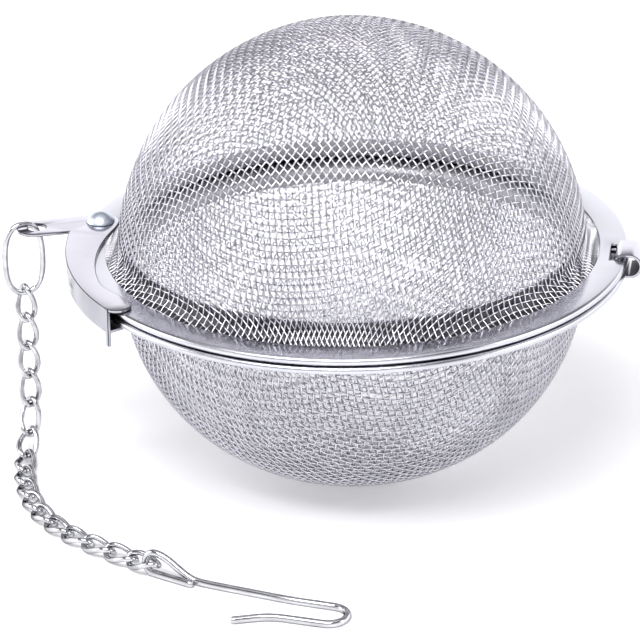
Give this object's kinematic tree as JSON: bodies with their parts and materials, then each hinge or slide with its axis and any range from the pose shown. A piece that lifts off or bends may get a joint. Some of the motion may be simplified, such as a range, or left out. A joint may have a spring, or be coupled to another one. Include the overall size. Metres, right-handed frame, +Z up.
{
  "type": "tea infuser",
  "caption": "Ball-shaped tea infuser of woven steel wire in two hinged halves with flat rims, a swivelling latch, a twisted-link chain and a wire hook.",
  "frame": {"origin": "middle of the flat under the lower half, on the surface it stands on", "axes": "+Z up through the middle of the ball, +X towards the hinge, so the latch and chain are at -X"},
  "size_m": [0.0875, 0.0879, 0.063],
  "materials": {
    "wire_cloth": "bright woven stainless wire, about 1 mm between wires",
    "rim_steel": "satin on the flat, polished on the rolled edge",
    "bright_sheet": "bright pressed sheet",
    "rivet": "polished",
    "chain_wire": "polished wire",
    "hook_wire": "polished wire"
  },
  "bodies": {
    "lower_half": {"lower_mesh": "wire_cloth", "lower_rim": "rim_steel", "hinge_strip": "bright_sheet"},
    "upper_half": {"upper_mesh": "wire_cloth", "upper_rim": "rim_steel", "rivet": "rivet"},
    "latch": {"latch_clip": "bright_sheet"},
    "ring": {"tab_ring": "chain_wire"},
    "link_01": {"link_01": "chain_wire"},
    "link_02": {"link_02": "chain_wire"},
    "link_03": {"link_03": "chain_wire"},
    "link_04": {"link_04": "chain_wire"},
    "link_05": {"link_05": "chain_wire"},
    "link_06": {"link_06": "chain_wire"},
    "link_07": {"link_07": "chain_wire"},
    "link_08": {"link_08": "chain_wire"},
    "link_09": {"link_09": "chain_wire"},
    "link_10": {"link_10": "chain_wire"},
    "link_11": {"link_11": "chain_wire"},
    "link_12": {"link_12": "chain_wire"},
    "link_13": {"link_13": "chain_wire"},
    "link_14": {"link_14": "chain_wire"},
    "link_15": {"link_15": "chain_wire"},
    "link_16": {"link_16": "chain_wire"},
    "hook": {"wire_hook": "hook_wire"}
  },
  "joints": [
    {"name": "lid_hinge", "type": "hinge", "parent": "lower_half", "child": "upper_half", "pos_m": [0.037, 0, 0.03163], "axis": [0, 1, 0], "range_deg": [0, 130]},
    {"name": "latch_swivel", "type": "hinge", "parent": "upper_half", "child": "latch", "pos_m": [-0.03519, 0.00333, 0.0324], "axis": [0, 0, -1], "range_deg": [0, 60]},
    {"name": "ring_swing", "type": "hinge", "parent": "latch", "child": "ring", "pos_m": [-0.04541, -0.00019, 0.03242], "axis": [0.5, -0.866, 0], "range_deg": [0, 10]},
    {"name": "link_01_swing", "type": "hinge", "parent": "ring", "child": "link_01", "pos_m": [-0.04541, -0.00019, 0.02361], "axis": [-0.9994, -0.0349, 0], "range_deg": [0, 10]},
    {"name": "link_02_swing", "type": "hinge", "parent": "link_01", "child": "link_02", "pos_m": [-0.04541, -0.00019, 0.01934], "axis": [0.9994, 0.0349, 0], "range_deg": [-10, 0]},
    {"name": "link_03_swing", "type": "hinge", "parent": "link_02", "child": "link_03", "pos_m": [-0.04541, -0.00019, 0.01507], "axis": [-0.9994, -0.0349, 0], "range_deg": [0, 10]},
    {"name": "link_04_swing", "type": "hinge", "parent": "link_03", "child": "link_04", "pos_m": [-0.04541, -0.00019, 0.0108], "axis": [0.9994, 0.0349, 0], "range_deg": [-10, 0]},
    {"name": "link_05_swing", "type": "hinge", "parent": "link_04", "child": "link_05", "pos_m": [-0.04539, -0.00063, 0.00663], "axis": [0, 0, 1], "range_deg": [-12, 5]},
    {"name": "link_06_swing", "type": "hinge", "parent": "link_05", "child": "link_06", "pos_m": [-0.04532, -0.00269, 0.00306], "axis": [0, 0, 1], "range_deg": [-8, 0]},
    {"name": "link_07_swing", "type": "hinge", "parent": "link_06", "child": "link_07", "pos_m": [-0.04519, -0.00636, 0.00119], "axis": [0, 0, 1], "range_deg": [-12, 5]},
    {"name": "link_08_swing", "type": "hinge", "parent": "link_07", "child": "link_08", "pos_m": [-0.04462, -0.01042, 0.00088], "axis": [0, 0, 1], "range_deg": [-18, 18]},
    {"name": "link_09_swing", "type": "hinge", "parent": "link_08", "child": "link_09", "pos_m": [-0.04369, -0.01444, 0.00088], "axis": [0, 0, -1], "range_deg": [-18, 18]},
    {"name": "link_10_swing", "type": "hinge", "parent": "link_09", "child": "link_10", "pos_m": [-0.04235, -0.01833, 0.00088], "axis": [0, 0, 1], "range_deg": [-18, 18]},
    {"name": "link_11_swing", "type": "hinge", "parent": "link_10", "child": "link_11", "pos_m": [-0.04054, -0.02204, 0.00088], "axis": [0, 0, -1], "range_deg": [-18, 18]},
    {"name": "link_12_swing", "type": "hinge", "parent": "link_11", "child": "link_12", "pos_m": [-0.03818, -0.02541, 0.00088], "axis": [0, 0, 1], "range_deg": [-18, 18]},
    {"name": "link_13_swing", "type": "hinge", "parent": "link_12", "child": "link_13", "pos_m": [-0.03532, -0.02838, 0.00088], "axis": [0, 0, -1], "range_deg": [-18, 18]},
    {"name": "link_14_swing", "type": "hinge", "parent": "link_13", "child": "link_14", "pos_m": [-0.03212, -0.03097, 0.00095], "axis": [0, 0, 1], "range_deg": [-18, 18]},
    {"name": "link_15_swing", "type": "hinge", "parent": "link_14", "child": "link_15", "pos_m": [-0.02874, -0.03333, 0.00106], "axis": [0, 0, -1], "range_deg": [-18, 18]},
    {"name": "link_16_swing", "type": "hinge", "parent": "link_15", "child": "link_16", "pos_m": [-0.02533, -0.03563, 0.00124], "axis": [0, 0, 1], "range_deg": [-18, 18]},
    {"name": "hook_swing", "type": "hinge", "parent": "link_16", "child": "hook", "pos_m": [-0.02284, -0.03748, 0.00174], "axis": [0, 0, 1], "range_deg": [-20, 20]}
  ]
}
